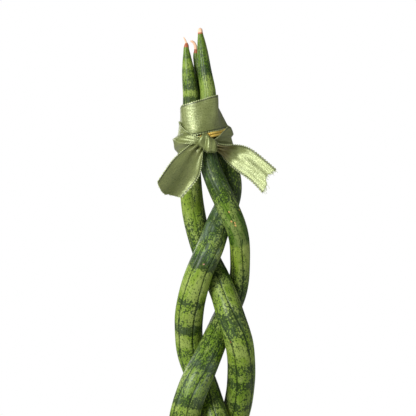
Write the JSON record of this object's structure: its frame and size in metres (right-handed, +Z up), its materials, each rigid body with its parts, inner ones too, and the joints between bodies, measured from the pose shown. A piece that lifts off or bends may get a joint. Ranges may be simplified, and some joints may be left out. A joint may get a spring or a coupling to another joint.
{
  "type": "potted braided snake plant",
  "caption": "Upright cylindrical snake plant leaves braided together in a plain clay pot, tied near their tips with a gold cord and a satin ribbon.",
  "frame": {"origin": "centre of the underside of the pot, on the surface that it stands on", "axes": "+Z up along the plant, -Y towards the viewer of its front, where the ribbon's knot is, and +X to the right seen from the front"},
  "size_m": [0.12, 0.12, 0.4615],
  "materials": {
    "terracotta": "matte",
    "soil": "matte",
    "leaf": "satin",
    "gold_cord": "satin",
    "satin": "satin"
  },
  "bodies": {
    "root": {"pot": "terracotta", "soil": "soil", "leaf_left": "leaf", "leaf_middle": "leaf", "leaf_right": "leaf", "gold_tie": "gold_cord", "ribbon": "satin"}
  },
  "joints": []
}
